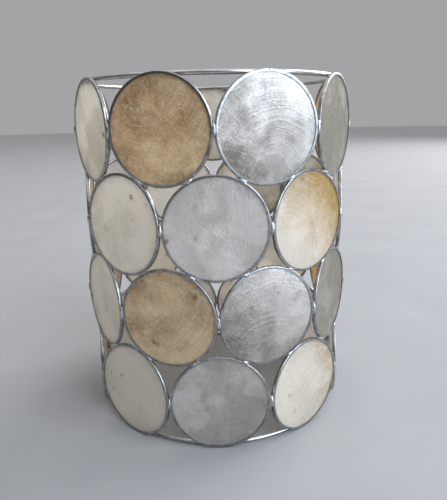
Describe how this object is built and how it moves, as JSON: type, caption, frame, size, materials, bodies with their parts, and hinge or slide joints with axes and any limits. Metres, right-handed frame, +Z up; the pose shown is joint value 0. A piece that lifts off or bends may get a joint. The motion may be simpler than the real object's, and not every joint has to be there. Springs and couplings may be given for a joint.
{
  "type": "hurricane candle lantern",
  "caption": "Open hurricane sleeve for a candle: round translucent capiz shell panes in soldered metal channel rings, staggered in rows between two wire hoops.",
  "frame": {"origin": "on the axis of the sleeve, in the plane that its foot stands on", "axes": "+Z up along the axis of the sleeve; -Y is the front, where a pane of the second row faces the viewer; +X to the viewer's right"},
  "size_m": [0.1544, 0.1568, 0.1889],
  "materials": {
    "shell_silver": "pearly natural shell, silver",
    "shell_amber": "pearly natural shell, amber brown",
    "shell_grey": "pearly natural shell, beige grey",
    "shell_cream": "pearly natural shell, cream",
    "channel_metal": "tinned, slightly dull",
    "hoop_wire": "tinned wire",
    "solder": "soft solder, uneven"
  },
  "bodies": {
    "root": {"shell_row_1_pane_1": "shell_silver", "shell_row_1_pane_2": "shell_grey", "shell_row_1_pane_3": "shell_amber", "shell_row_1_pane_4": "shell_amber", "shell_row_1_pane_5": "shell_grey", "shell_row_1_pane_6": "shell_cream", "shell_row_1_pane_7": "shell_grey", "shell_row_1_pane_8": "shell_grey", "shell_row_1_pane_9": "shell_amber", "channel_rings_row_1": "channel_metal", "solder_row_1": "solder", "solder_rows_1_and_2": "solder", "shell_row_2_pane_1": "shell_silver", "shell_row_2_pane_2": "shell_cream", "shell_row_2_pane_3": "shell_grey", "shell_row_2_pane_4": "shell_cream", "shell_row_2_pane_5": "shell_amber", "shell_row_2_pane_6": "shell_grey", "shell_row_2_pane_7": "shell_silver", "shell_row_2_pane_8": "shell_cream", "shell_row_2_pane_9": "shell_grey", "channel_rings_row_2": "channel_metal", "solder_row_2": "solder", "solder_rows_2_and_3": "solder", "shell_row_3_pane_1": "shell_silver", "shell_row_3_pane_2": "shell_grey", "shell_row_3_pane_3": "shell_amber", "shell_row_3_pane_4": "shell_cream", "shell_row_3_pane_5": "shell_silver", "shell_row_3_pane_6": "shell_cream", "shell_row_3_pane_7": "shell_cream", "shell_row_3_pane_8": "shell_grey", "shell_row_3_pane_9": "shell_amber", "channel_rings_row_3": "channel_metal", "solder_row_3": "solder", "solder_rows_3_and_4": "solder", "shell_row_4_pane_1": "shell_silver", "shell_row_4_pane_2": "shell_cream", "shell_row_4_pane_3": "shell_grey", "shell_row_4_pane_4": "shell_silver", "shell_row_4_pane_5": "shell_cream", "shell_row_4_pane_6": "shell_grey", "shell_row_4_pane_7": "shell_amber", "shell_row_4_pane_8": "shell_cream", "shell_row_4_pane_9": "shell_grey", "channel_rings_row_4": "channel_metal", "solder_row_4": "solder", "top_hoop": "hoop_wire", "bottom_hoop": "hoop_wire", "solder_top_hoop": "solder", "solder_bottom_hoop": "solder"}
  },
  "joints": []
}
